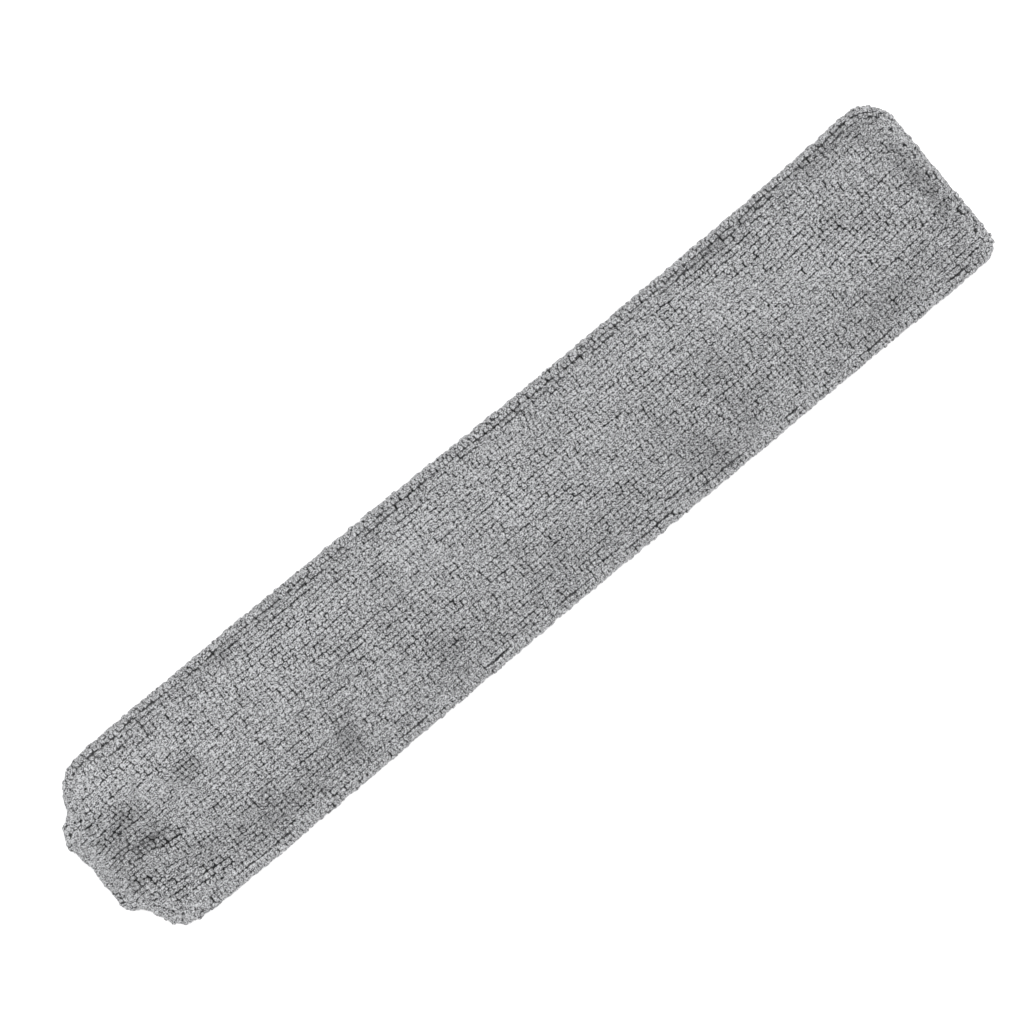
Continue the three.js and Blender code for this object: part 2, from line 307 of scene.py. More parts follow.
# Painted light brighter at the hem; the painted light level of the rolled edge, underside and mouth; the
# rolled edge painted darker on its upper side and lighter on its lower side; strength of the painted patches
PAINTED_LIGHT_HEM = 0.10
PAINTED_LIGHT_OFF_FRONT = 0.975
PAINTED_LIGHT_RIM_SIDE = 0.105
PAINTED_PATCH_STRENGTH = 1.25
# Painted patches of light and shade on the front, several of the darker ones over its hollows: place along,
# place across, reach each way, share brighter or darker
PAINTED_LIGHT_PATCHES = [
    (0.026, 0.004, 0.008, 0.01, -0.22), (0.039, 0.012, 0.01, 0.008, -0.28),
    (0.043, -0.006, 0.012, 0.006, -0.31), (0.08, 0.01, 0.009, 0.009, -0.25),
    (0.058, -0.028, 0.01, 0.008, -0.22), (0.095, -0.038, 0.022, 0.009, -0.19),
    (0.125, -0.036, 0.018, 0.009, -0.16), (0.158, -0.033, 0.008, 0.012, -0.34),
    (0.229, -0.033, 0.011, 0.014, -0.22), (0.226, 0.014, 0.01, 0.02, -0.16),
    (0.176, -0.002, 0.012, 0.01, -0.11), (0.309, -0.028, 0.02, 0.014, -0.12),
    (0.343, 0.024, 0.014, 0.01, -0.11), (0.409, -0.041, 0.012, 0.014, -0.28),
    (0.436, -0.036, 0.009, 0.012, -0.19), (0.44, -0.004, 0.016, 0.014, -0.16),
    (0.396, -0.016, 0.008, 0.014, -0.14), (0.529, -0.036, 0.022, 0.01, -0.19),
    (0.545, 0.02, 0.012, 0.012, -0.12), (0.57, 0.026, 0.014, 0.016, -0.12),
    (0.588, 0.008, 0.007, 0.034, -0.37), (0.478, 0.047, 0.024, 0.006, -0.22),
    (0.56, 0.047, 0.03, 0.006, -0.19), (0.128, 0.048, 0.022, 0.005, -0.16),
    (0.049, 0.031, 0.014, 0.009, 0.16), (0.086, 0.031, 0.012, 0.009, 0.12),
    (0.104, 0.015, 0.02, 0.01, 0.08), (0.131, 0.033, 0.012, 0.009, 0.16), (0.146, 0.022, 0.01, 0.01, 0.14),
    (0.133, -0.016, 0.014, 0.007, 0.12), (0.203, 0.03, 0.014, 0.008, 0.09),
    (0.243, 0.03, 0.01, 0.014, 0.12), (0.265, 0.032, 0.014, 0.009, 0.16), (0.312, 0.006, 0.014, 0.01, 0.14),
    (0.463, 0.02, 0.01, 0.012, 0.12), (0.478, 0.002, 0.01, 0.01, 0.12), (0.515, 0.002, 0.018, 0.01, 0.19),
    (0.185, -0.016, 0.012, 0.01, 0.09), (0.245, -0.018, 0.012, 0.01, 0.08),
]

# Finishes: darkest and palest colour. The pile's darkest colour serves the painted shade between the loops
# and the dark gaps between fibres; the ground's colours are painted shade.
PAINTED_SHADE_TO_FIBRE_COLOURS = ((0.02, 0.021, 0.023, 1), (0.94, 0.945, 0.968, 1))
PAINTED_SHADE_GROUND_COLOURS = ((0.05, 0.051, 0.053, 1), (0.015, 0.015, 0.016, 1))
THREAD_COLOURS = ((0.16, 0.162, 0.17, 1), (0.34, 0.345, 0.355, 1))
ELASTIC_COLOURS = ((0.50, 0.50, 0.48, 1), (0.72, 0.72, 0.70, 1))
WHITE = (1, 1, 1, 1)

# Light and floor
SKY_STRENGTH = 0.7
SUN_STRENGTH = 1.56
SUN_ANGLE = 35
SUN_FROM = (0.18, 0.08, 1.0)
FLOOR_SIZE = 12
FLOOR_COLOUR = (0.9, 0.9, 0.9, 1)
FLOOR_GLOW = 0.36

# Photograph: its size, scale, the slant of the sleeve in it, and the point of the frame at its middle
PHOTO_SIZE = 1024
METRES_PER_PIXEL = 0.000542
SLANT = 39.71
AIM = (0.0038, 0.0057)
LENS = 100.0


def shared(table, share):
    """A value read off a table of places and values."""
    places, values = zip(*table)
    return np.interp(share, places, values)


def smooth(low, high, value):
    """0 up to one value and 1 from another, with an even curve between them."""
    share = np.clip((value - low) / (high - low), 0, 1)
    return share * share * (3 - 2 * share)


def edge_y(s, side):
    """Distance from the middle line to one long edge, before its tip corner is taken off."""
    body = HALF_WIDTH * shared(EDGE_SHARES[side], s / LENGTH)
    hem = shared(SHOULDER[side], s)
    width = SHOULDER_END * SHOULDER_BLEND_SHARE
    blend = np.clip((s - (SHOULDER_END - width)) / width, 0, 1)
    return hem * (1 - blend) + body * blend


def side_stations():
    """Places along a long edge, closest together at the mouth."""
    count = SIDE_STATIONS
    mouth = np.linspace(MOUTH_START, SHOULDER_END, count // 4, endpoint=False)
    body = np.linspace(SHOULDER_END, LENGTH - CORNER_RADIUS[1], count - count // 4)
    return np.concatenate([mouth, body])


def eased(values, reach=6):
    """Values averaged with their neighbours along a line."""
    window = 2 * reach + 1
    return np.convolve(np.pad(values, reach, mode="edge"), np.ones(window) / window, mode="valid")


def tip_corner(side, inset):
    """A tip corner drawn in by an inset: its radius, and the place along and across of its middle."""
    radius = max(CORNER_RADIUS[side] - inset, LEAST_RADIUS)
    along = LENGTH - inset - radius
    return radius, along, edge_y(np.array([along]), side)[0] - inset - radius


def corner_arc(side, inset, start, end):
    """Part of a tip corner, between two angles in degrees, on the upper side of the middle line."""
    radius, along, across = tip_corner(side, inset)
    angles = np.radians(np.linspace(start, end, CORNER_STATIONS + 1))
    return np.stack([along + radius * np.cos(angles), across + radius * np.sin(angles)], 1)


def side_curve(side, inset):
    """One long edge drawn in by an inset, from the mouth to halfway round its tip corner."""
    end = LENGTH - CORNER_RADIUS[side]
    s = side_stations()
    s = MOUTH_START + (s - MOUTH_START) * (end - MOUTH_START) / (s[-1] - MOUTH_START)
    y = edge_y(s, side)
    slope = eased(np.gradient(y, s), 2)
    norm = np.sqrt(1 + slope**2)
    along = s + inset * slope / norm
    along = along + (tip_corner(side, inset)[1] - end) * (s / s[-1]) ** CORNER_PULL
    edge = np.stack([along, y - inset / norm], 1)
    points = np.concatenate([edge, corner_arc(side, inset, 90, 45)[1:]])
    points[:, 1] *= side
    return points


def tip_curve(inset):
    """The tip drawn in by an inset, from halfway round the upper corner to halfway round the lower one."""
    upper = corner_arc(1, inset, 45, 0)
    lower = corner_arc(-1, inset, 45, 0)[::-1] * (1, -1)
    shares = np.linspace(0, 1, TIP_STATIONS + 1)[1:-1, None]
    return np.concatenate([upper, upper[-1] + (lower[0] - upper[-1]) * shares, lower])


def outline(inset):
    """The outline drawn in by an inset: along the upper edge, round the tip and back along the lower edge."""
    return np.concatenate([side_curve(1, inset), tip_curve(inset)[1:-1], side_curve(-1, inset)[::-1]])


def round_the_outline(values):
    """A value for each point of the outline, from those of the upper side, the tip and the lower side."""
    side, tip = len(side_curve(1, 0)), len(tip_curve(0)) - 2
    joined = np.concatenate([np.full(side, values[1]), np.full(tip, values[0]), np.full(side, values[-1])])
    return eased(joined)


def run_along(line):
    """Distance covered along a line of points, and its direction at each point."""
    run = np.concatenate([[0], np.cumsum(np.linalg.norm(np.diff(line, axis=0), axis=1))])
    tangent = np.gradient(line, run, axis=0)
    return run, tangent / np.linalg.norm(tangent, axis=1)[:, None]


def seam_insets():
    """How far the seam lies inside each point of the outline. It wanders a little, as a sewn line does."""
    upper = np.interp(side_curve(1, 0)[:, 0] / LENGTH, SEAM_SHARES_PLACE, SEAM_INSET[1])
    lower = np.interp(side_curve(-1, 0)[:, 0] / LENGTH, SEAM_SHARES_PLACE, SEAM_INSET[-1])
    tip = np.full(len(tip_curve(0)) - 2, TIP_SEAM_INSET)
    run = run_along(OUTLINE)[0]
    wander = sum(size * np.sin(run / reach) for size, reach in SEAM_WANDER)
    return eased(np.concatenate([upper, tip, lower[::-1]])) + wander


OUTLINE = outline(0)
RINGS = np.stack([outline(inset) for inset in np.arange(0, RING_REACH, RING_STEP)])
SEAM_INSETS = seam_insets()
IN_BODY = smooth(SEAM_FLAT, SHOULDER_END, OUTLINE[:, 0])
SEAM_DEPTHS = round_the_outline(SEAM_DEPTH) * IN_BODY
ROW_GAPS = ROW_FROM_SEAM[-1] + (round_the_outline(ROW_FROM_SEAM) - ROW_FROM_SEAM[-1]) * IN_BODY


def nearest_outline(points):
    """Distance from each point to the outline, inside it, and the number of the outline's nearest point."""
    start, end = OUTLINE[:-1], OUTLINE[1:]
    step = end - start
    length2 = (step**2).sum(1)
    distances = np.empty(len(points))
    nearest = np.empty(len(points), int)
    for first in range(0, len(points), 2000):
        part = points[first:first + 2000, None, :]
        share = np.clip(((part - start) * step).sum(2) / length2, 0, 1)
        gap = np.linalg.norm(part - (start + share[..., None] * step), axis=2)
        best = gap.argmin(1)
        rows = np.arange(len(best))
        distances[first:first + 2000] = gap[rows, best]
        nearest[first:first + 2000] = best
    return np.where(is_inside(points), distances, -distances), nearest


def is_inside(points):
    """Whether each point is within the outline."""
    s, y = points[:, 0], points[:, 1]
    inside = (y < edge_y(s, 1)) & (y > -edge_y(s, -1)) & (s < LENGTH)
    for side, radius in CORNER_RADIUS.items():
        corner = LENGTH - radius
        middle = edge_y(np.array([corner]), side)[0] - radius
        cut = (s > corner) & (side * y > middle) & (np.hypot(s - corner, side * y - middle) > radius)
        inside &= ~cut
    return inside


def mouth_shift(s, y):
    """How far the uneven edge of the mouth moves a place along the sleeve."""
    wanted = shared(MOUTH_EDGE, y) + FOLD_REACH - MOUTH_START
    return wanted * (1 - smooth(MOUTH_START, HEM_END, s))


def gathered(s):
    """1 at the gather line, falling to 0 where the gathers end."""
    return 1 - smooth(GATHER_LINE, GATHER_REACH, s)


def roll_radius(s):
    """Half the height of the cloth, under its pile."""
    height = BODY_HEIGHT + (HEM_HEIGHT - BODY_HEIGHT) * gathered(s)
    return height / 2 - PILE_REACH


def middle_z(s):
    """Height halfway up the sleeve."""
    return PILE_REACH + roll_radius(s)


def rolled(inner, radius):
    """Height of the rolled edge above the middle, a distance inside the cloth's outermost line."""
    return np.sqrt(np.maximum(radius**2 - (radius - inner) ** 2, 0))


def segment_distance(s, y, start, end):
    """Distance from a line between two points, and the share of the way along it."""
    step = np.array(end) - np.array(start)
    share = np.clip(((s - start[0]) * step[0] + (y - start[1]) * step[1]) / (step**2).sum(), 0, 1)
    gap = np.hypot(s - start[0] - share * step[0], y - start[1] - share * step[1])
    return gap, share


def relief(s, y):
    """Rises and creases of the front, before the edges are taken into account."""
    rise = np.zeros_like(s)
    for start, end, depth, width in CREASES:
        gap, share = segment_distance(s, y, start, end)
        rise -= depth * (1 - CREASE_FADE_SHARE * share) * np.exp(-((gap / width) ** 2))
    for along, across, reach, height in SWELLS:
        rise += height * np.exp(-(((s - along) ** 2 + (y - across) ** 2) / reach**2))
    for along, across, phase, height in WAVES:
        rise += height * np.sin(2 * math.pi * s / along + phase) * np.cos(2 * math.pi * y / across - phase)
    rise -= GATHER_DEPTH * np.exp(-(((s - GATHER_LINE) / GATHER_WIDTH) ** 2))
    return rise


def front_z(points):
    """Height of the front cloth, under its pile, over points of the plan."""
    s, y = points[:, 0], points[:, 1]
    gap, nearest = nearest_outline(points)
    radius = roll_radius(s)
    roll = rolled(np.clip(gap - PILE_REACH, 0, radius), radius)
    crown = CROWN_RISE * smooth(0, CROWN_REACH, gap)
    groove = SEAM_DEPTHS[nearest] * np.exp(-(((gap - SEAM_INSETS[nearest]) / SEAM_WIDTH) ** 2))
    return middle_z(s) + roll + crown + relief(s, y) * smooth(*RELIEF_FADE, gap) - groove


def back_z(points):
    """Height of the back cloth's underside, under its pile, over points of the plan."""
    s, y = points[:, 0], points[:, 1]
    gap, _ = nearest_outline(points)
    radius = roll_radius(s)
    roll = rolled(np.clip(gap - PILE_REACH, 0, radius), radius)
    pleats = PLEAT_HEIGHT * gathered(s) * (1 + np.cos(2 * math.pi * y / PLEAT_PITCH)) / 2
    return middle_z(s) - roll + pleats * smooth(*PLEAT_FADE, gap)


def with_z(points, heights):
    """Points of the plan with a height each."""
    return np.concatenate([points, np.asarray(heights)[:, None]], 1)


def over(plan, height):
    """Points or a grid of the plan, lifted to the height over them."""
    points = plan.reshape(-1, 2)
    return with_z(points, height(points)).reshape(*plan.shape[:-1], 3)


def fill(ring):
    """A grid over the inside of a ring round both sides and the tip, as rows from the mouth to the tip."""
    side = len(side_curve(1, 0))
    upper, lower = ring[:side], ring[::-1][:side]
    tip = ring[side - 1:len(ring) - side + 1]
    shares = np.linspace(0, 1, len(tip))[None, :, None]
    rows = upper[:, None] * (1 - shares) + lower[:, None] * shares
    pull = np.linspace(0, 1, side)[:, None, None] ** TIP_PULL
    return rows + (tip - rows[-1])[None] * pull


def stitch(name, grids):
    """One mesh from grids of points that share their borders."""
    mesh = bmesh.new()
    for grid in grids:
        count = grid.shape[:2]
        verts = [[mesh.verts.new(place) for place in row] for row in grid]
        for i in range(count[0] - 1):
            for j in range(count[1] - 1):
                mesh.faces.new((verts[i][j], verts[i + 1][j], verts[i + 1][j + 1], verts[i][j + 1]))
    bmesh.ops.remove_doubles(mesh, verts=mesh.verts, dist=2e-6)
    bmesh.ops.recalc_face_normals(mesh, faces=mesh.faces)
    data = bpy.data.meshes.new(name)
    mesh.to_mesh(data)
    mesh.free()
    return data


def in_frame(grid):
    """Places along the sleeve turned into the frame's X, with the mouth's edge made uneven."""
    moved = np.array(grid, float)
    moved[..., 0] += MOUTH_X + mouth_shift(moved[..., 0], moved[..., 1])
    return moved


def inset_ring(insets):
    """The outline drawn in by an inset of its own at each point."""
    target = np.clip(insets / RING_STEP, 0, len(RINGS) - 1.001)
    low = target.astype(int)
    share = (target - low)[:, None]
    index = np.arange(RINGS.shape[1])
    return RINGS[low, index] * (1 - share) + RINGS[low + 1, index] * share


def seam_ring(beyond):
    """The seam line on the front, drawn in by a further distance."""
    return inset_ring(SEAM_INSETS + beyond)


def seam_angle(radius):
    """How far up the rolled edge the seam lies, as an angle from level."""
    return np.arccos(1 - np.clip((SEAM_INSETS - PILE_REACH) / radius, LEAST_RISE_SHARE, 1))


def hem_rows(edge):
    """The hem's turned-in cloth: rows that carry an edge round the mouth's fold and back inside."""
    down = middle_z(edge[:, 0]) - edge[:, 2]
    at_sides = smooth(*FOLD_TURN, np.abs(edge[:, 1]))
    rows = [edge]
    for share, ahead in FOLD_ROWS:
        row = edge.copy()
        row[:, 0] += ahead
        row[:, 2] += np.sign(down) * np.minimum(np.abs(down), FACING_INSET) * share
        row[:, 1] -= np.sign(edge[:, 1]) * np.minimum(np.abs(edge[:, 1]), FACING_INSET) * share * at_sides
        rows.append(row)
    last = rows[-1]
    for depth in FACING_DEPTHS:
        row = last.copy()
        row[:, 0] += depth
        row[:, 1] *= 1 + depth * FACING_FLARE
        rows.append(row)
    return np.stack(rows)


def allowance(crease, drop_shares):
    """The seam's allowance: rows that turn in from the crease and lie below it."""
    rows = [crease]
    for step, share in zip(ALLOWANCE_STEPS, drop_shares):
        rows.append(with_z(seam_ring(step), crease[:, 2] - ALLOWANCE_DROP * share))
    return np.stack(rows)


def placed(name, data):
    """A new object in the scene."""
    made = bpy.data.objects.new(name, data)
    bpy.context.scene.collection.objects.link(made)
    return made


def applied(made):
    """The object with its modifiers turned into plain mesh."""
    evaluated = made.evaluated_get(bpy.context.evaluated_depsgraph_get())
    result = bpy.data.meshes.new_from_object(evaluated)
    made.modifiers.clear()
    made.data = result
    return made


def panel(name, strip, face, drop_shares):
    """A sewn panel with the cloth's thickness: the strip beside its seam, its face, allowance and hem."""
    edge = np.concatenate([strip[:-1, 0], face[0], strip[:-1, -1][::-1]])
    grids = (strip, face, allowance(strip[0], drop_shares), hem_rows(edge))
    made = placed(name, stitch(name, [in_frame(grid) for grid in grids]))
    wall = made.modifiers.new("wall", "SOLIDIFY")
    wall.thickness = CLOTH
    wall.offset = -1
    return applied(made)


def front_cloth():
    """The front panel."""
    rings = np.stack([seam_ring(step) for step in EDGE_STEPS])
    return panel("front_cloth", over(rings, front_z), over(fill(rings[-1]), front_z), FRONT_DROP_SHARES)


def roll_ring(share):
    """A ring round the rolled edge, from the seam at share 0 down to the flat underside at share 1."""
    base = outline(PILE_REACH)
    radius = roll_radius(base[:, 0])
    start = seam_angle(radius)
    angle = start + (-math.pi / 2 - start) * share
    plan = inset_ring(radius * (1 - np.cos(angle)) + PILE_REACH)
    return with_z(plan, middle_z(base[:, 0]) + radius * np.sin(angle))


def back_cloth():
    """The back panel: its flat underside, and the rolled edge that comes up to the seam."""
    shares = np.linspace(0, 1, ROLL_STEPS + 1)
    strip = np.stack([roll_ring(share) for share in shares])
    strip[:, :, 2] -= SEAM_DEPTHS * np.exp(-((shares * SEAM_DIP_FALL) ** 2))[:, None]
    face = over(fill(strip[-1][:, :2]), back_z)
    strip[-1] = np.concatenate([face[:, 0], face[-1, 1:-1], face[:, -1][::-1]])
    return panel("back_cloth", strip, face, BACK_DROP_SHARES)


def section_loop(s, depth, shares):
    """Points round the sleeve at one place along it, a depth inside the outer face: front, then back."""
    depth = np.broadcast_to(depth, shares.shape)
    place = np.broadcast_to(s, shares.shape)
    high = edge_y(place, 1) - PILE_REACH - depth
    low = -edge_y(place, -1) + PILE_REACH + depth
    front = shares < 0.5
    across = np.where(front, shares * 2, 2 - shares * 2)
    y = (low + high) / 2 - (high - low) / 2 * np.cos(math.pi * across)
    radius = roll_radius(place) - depth
    inner = np.clip(np.minimum(high - y, y - low), 0, radius)
    roll = rolled(inner, radius)
    rise = relief(place, y) * smooth(*RELIEF_FADE, inner + PILE_REACH + depth)
    return np.stack([place, y, middle_z(place) + np.where(front, roll + rise, -roll)], 1)


def elastic(finish):
    """The flat elastic: a closed band with lengthwise cords, puckered where the hem draws it in."""
    shares = np.arange(ELASTIC_STATIONS) / ELASTIC_STATIONS
    pucker = PUCKER_HEIGHT * np.sin(2 * math.pi * PUCKERS * shares)
    steps = np.linspace(0, 1, ELASTIC_CORDS * 4 + 1)
    half = ELASTIC_THICKNESS / 2 * (0.6 + 0.4 * np.abs(np.sin(math.pi * ELASTIC_CORDS * steps)))
    half[[0, -1]] = ELASTIC_EDGE
    outer = list(zip(steps, -half))
    inner = list(zip(steps[::-1], half[::-1]))
    rings = [
        section_loop(ELASTIC_START + ELASTIC_WIDTH * step, ELASTIC_DEPTH + thick + pucker, shares)
        for step, thick in outer + inner + outer[:1]
    ]
    grid = np.stack(rings)
    grid = np.concatenate([grid, grid[:, :1]], 1)
    return dressed(placed("elastic", stitch("elastic", [in_frame(grid)])), finish, "elastic", "elastic_band")


class Value:
    """A number in a node tree. Arithmetic on it adds Math nodes."""

    def __init__(self, nodes, socket):
        self.nodes = nodes
        self.socket = socket

    def math(self, operation, first, second=0.0):
        node = self.nodes.add("ShaderNodeMath", {"operation": operation}, {0: first, 1: second})
        return Value(self.nodes, node.outputs[0])

    def __add__(self, other):
        return self.math("ADD", self, other)

    def __sub__(self, other):
        return self.math("SUBTRACT", self, other)

    def __rsub__(self, other):
        return self.math("SUBTRACT", other, self)

    def __mul__(self, other):
        return self.math("MULTIPLY", self, other)

    def __truediv__(self, other):
        return self.math("DIVIDE", self, other)

    def __rtruediv__(self, other):
        return self.math("DIVIDE", other, self)

    def __pow__(self, other):
        return self.math("POWER", self, other)

    def __abs__(self):
        return self.math("ABSOLUTE", self)

    __radd__ = __add__
    __rmul__ = __mul__


class Nodes:
    """Adds nodes to the tree of a material, of the sky or of a geometry modifier."""

    def __init__(self, tree):
        self.tree = tree

    def add(self, kind, settings=None, inputs=None):
        node = self.tree.nodes.new(kind)
        for name, setting in (settings or {}).items():
            setattr(node, name, setting)
        for name, given in (inputs or {}).items():
            if isinstance(given, Value):
                self.tree.links.new(given.socket, node.inputs[name])
            else:
                node.inputs[name].default_value = given
        return node

    def get(self, kind, output, settings=None, inputs=None):
        return Value(self, self.add(kind, settings, inputs).outputs[output])

    def vector(self, x, y, z):
        return self.get("ShaderNodeCombineXYZ", "Vector", inputs={"X": x, "Y": y, "Z": z})

    def axes(self, vector):
        parts = self.add("ShaderNodeSeparateXYZ", inputs={"Vector": vector})
        return [Value(self, parts.outputs[axis]) for axis in "XYZ"]

    def vector_math(self, operation, first, second):
        return self.get("ShaderNodeVectorMath", "Vector", {"operation": operation}, {0: first, 1: second})

    def noise(self, output, **sockets):
        return self.get("ShaderNodeTexNoise", output, {"noise_dimensions": "3D"}, sockets)

    def attribute(self, name, output="Fac"):
        return self.get("ShaderNodeAttribute", output, {"attribute_name": name})


def new_tree(name, inputs, output):
    """A geometry tree with named inputs: its nodes, and the inputs' values."""
    tree = bpy.data.node_groups.new(name, "GeometryNodeTree")
    for label, kind in inputs.items():
        tree.interface.new_socket(label, in_out="INPUT", socket_type=f"NodeSocket{kind}")
    tree.interface.new_socket(output, in_out="OUTPUT", socket_type="NodeSocketGeometry")
    nodes = Nodes(tree)
    given = nodes.add("NodeGroupInput")
    return nodes, {label: Value(nodes, given.outputs[label]) for label in inputs}


def grown(name, data, tree, inputs):
    """The plain mesh that a geometry tree makes from a mesh."""
    made = placed(name, data)
    modifier = made.modifiers.new(tree.name, "NODES")
    modifier.node_group = tree
    for item in tree.interface.items_tree:
        if item.in_out == "INPUT" and item.name in inputs:
            modifier[item.identifier] = inputs[item.name]
    return applied(made)


def thread_tree():
    """Geometry nodes that lay a round thread along a line of points."""
    nodes, want = new_tree("thread along a path", {
        "Path": "Geometry", "Thickness": "Float", "Sides": "Int", "Finish": "Material",
    }, "Thread")
    line = nodes.get("GeometryNodeMeshToCurve", "Curve", inputs={"Mesh": want["Path"]})
    ring = nodes.get("GeometryNodeCurvePrimitiveCircle", "Curve", inputs={
        "Resolution": want["Sides"], "Radius": want["Thickness"] * 0.5,
    })
    swept = nodes.get("GeometryNodeCurveToMesh", "Mesh", inputs={
        "Curve": line, "Profile Curve": ring, "Fill Caps": True,
    })
    soft = nodes.get("GeometryNodeSetShadeSmooth", "Geometry", inputs={"Geometry": swept})
    real = nodes.get("GeometryNodeRealizeInstances", "Geometry", inputs={"Geometry": soft})
    done = nodes.get("GeometryNodeSetMaterial", "Geometry", inputs={
        "Geometry": real, "Material": want["Finish"],
    })
    nodes.add("NodeGroupOutput", inputs={"Thread": done})
    return nodes.tree


def thread(name, tree, path, finish, node, closed=False):
    """A piece of thread along a path of points, in place of a node."""
    count = len(path)
    edges = [(i, i + 1) for i in range(count - 1)] + ([(count - 1, 0)] if closed else [])
    data = bpy.data.meshes.new(name)
    data.from_pydata(in_frame(path).tolist(), edges, [])
    sizes = {"Thickness": THREAD, "Sides": THREAD_SIDES, "Finish": finish}
    return dressed(grown(name, data, tree, sizes), finish, "thread", node)


def seam_thread_path(part, beyond, reach):
    """A thread wound through the seam's plies: up and down at the stitches, and across by its reach."""
    near, far = seam_ring(beyond)[part], seam_ring(beyond + RING_STEP)[part]
    crease = seam_ring(0)[part]
    heights = front_z(crease) - PLIES_BELOW_CREASE
    inward = far - near
    inward /= np.linalg.norm(inward, axis=1)[:, None]
    run = run_along(near)[0]
    here = np.arange(0, run[-1], THREAD_STEP)
    columns = (*near.T, *inward.T, heights)
    s, y, in_s, in_y, z = (np.interp(here, run, column) for column in columns)
    turn = 2 * math.pi * here / STITCH
    across = reach * np.cos(turn)
    return np.stack([s + in_s * across, y + in_y * across, z + PLIES_HALF * np.sin(turn)], 1)


def threads(finish):
    """The seams' needle and overlock threads, and the hem's stitches."""
    tree = thread_tree()
    side = len(side_curve(1, 0))
    whole = len(OUTLINE)
    parts = {
        "upper_side": slice(POINTS_LEFT_OUT, side),
        "tip": slice(side - 1, whole - side + 1),
        "lower_side": slice(whole - side, whole - POINTS_LEFT_OUT),
    }
    half = OVERLOCK_WIDTH / 2
    for name, part in parts.items():
        needle = seam_thread_path(part, NEEDLE_LINE, 0.0)
        thread(f"{name}_stitches", tree, needle, finish, f"{name}_needle_thread")
        overlock = seam_thread_path(part, SEAM_ALLOWANCE - half, half + THREAD)
        thread(f"{name}_overlock", tree, overlock, finish, f"{name}_overlock_thread")
    shares = np.arange(HEM_STITCHES * 10) / (HEM_STITCHES * 10)
    depth = HEM_STITCH_DEPTH + HEM_STITCH_REACH * np.cos(2 * math.pi * HEM_STITCHES * shares)
    path = section_loop(HEM_STITCH_PLACE, depth, shares)
    thread("hem_stitches", tree, path, finish, "hem_stitch_thread", closed=True)


def stored(nodes, geometry, name, value, kind="FLOAT", domain="POINT"):
    """Geometry with a value kept on it under a name, for the finish to read."""
    return nodes.get("GeometryNodeStoreNamedAttribute", "Geometry", {"data_type": kind, "domain": domain}, {
        "Geometry": geometry, "Name": name, "Value": value,
    })


def loop_shape(nodes, sides, squareness, place, stretch, hollow):
    """One loop of pile within a box of 2 by 2 by 2: a squarish knob with a hollow in its top."""
    ball = nodes.get("GeometryNodeMeshUVSphere", "Mesh", inputs={
        "Segments": sides, "Rings": 4, "Radius": 1.0,
    })
    x, y, z = nodes.axes(place)
    radius = (x * x + y * y) ** 0.5
    square = (abs(x) ** squareness + abs(y) ** squareness) ** (1 / squareness)
    spread = radius ** 1.2 / square
    across = y * spread
    near = (x * spread * stretch * x * spread * stretch + across * across) ** 0.5
    raised = z.math("MINIMUM", z * 1.4, 1.0)
    top = z.math("GREATER_THAN", z, 0.3)
    drop = z.math("MAXIMUM", 1 - near / HOLLOW_REACH, 0.0) * top * hollow
    loop = nodes.get("GeometryNodeSetPosition", "Geometry", inputs={
        "Geometry": ball, "Position": nodes.vector(x * spread, across, raised - drop),
    })
    # The loop's height share, which the finish reads to paint shade towards the loop's foot.
    loop = stored(nodes, loop, "tip", z * 0.5 + 0.5)
    loop = stored(nodes, loop, "strand", place, "FLOAT_VECTOR")
    return nodes.get("GeometryNodeSetShadeSmooth", "Geometry", inputs={"Geometry": loop})


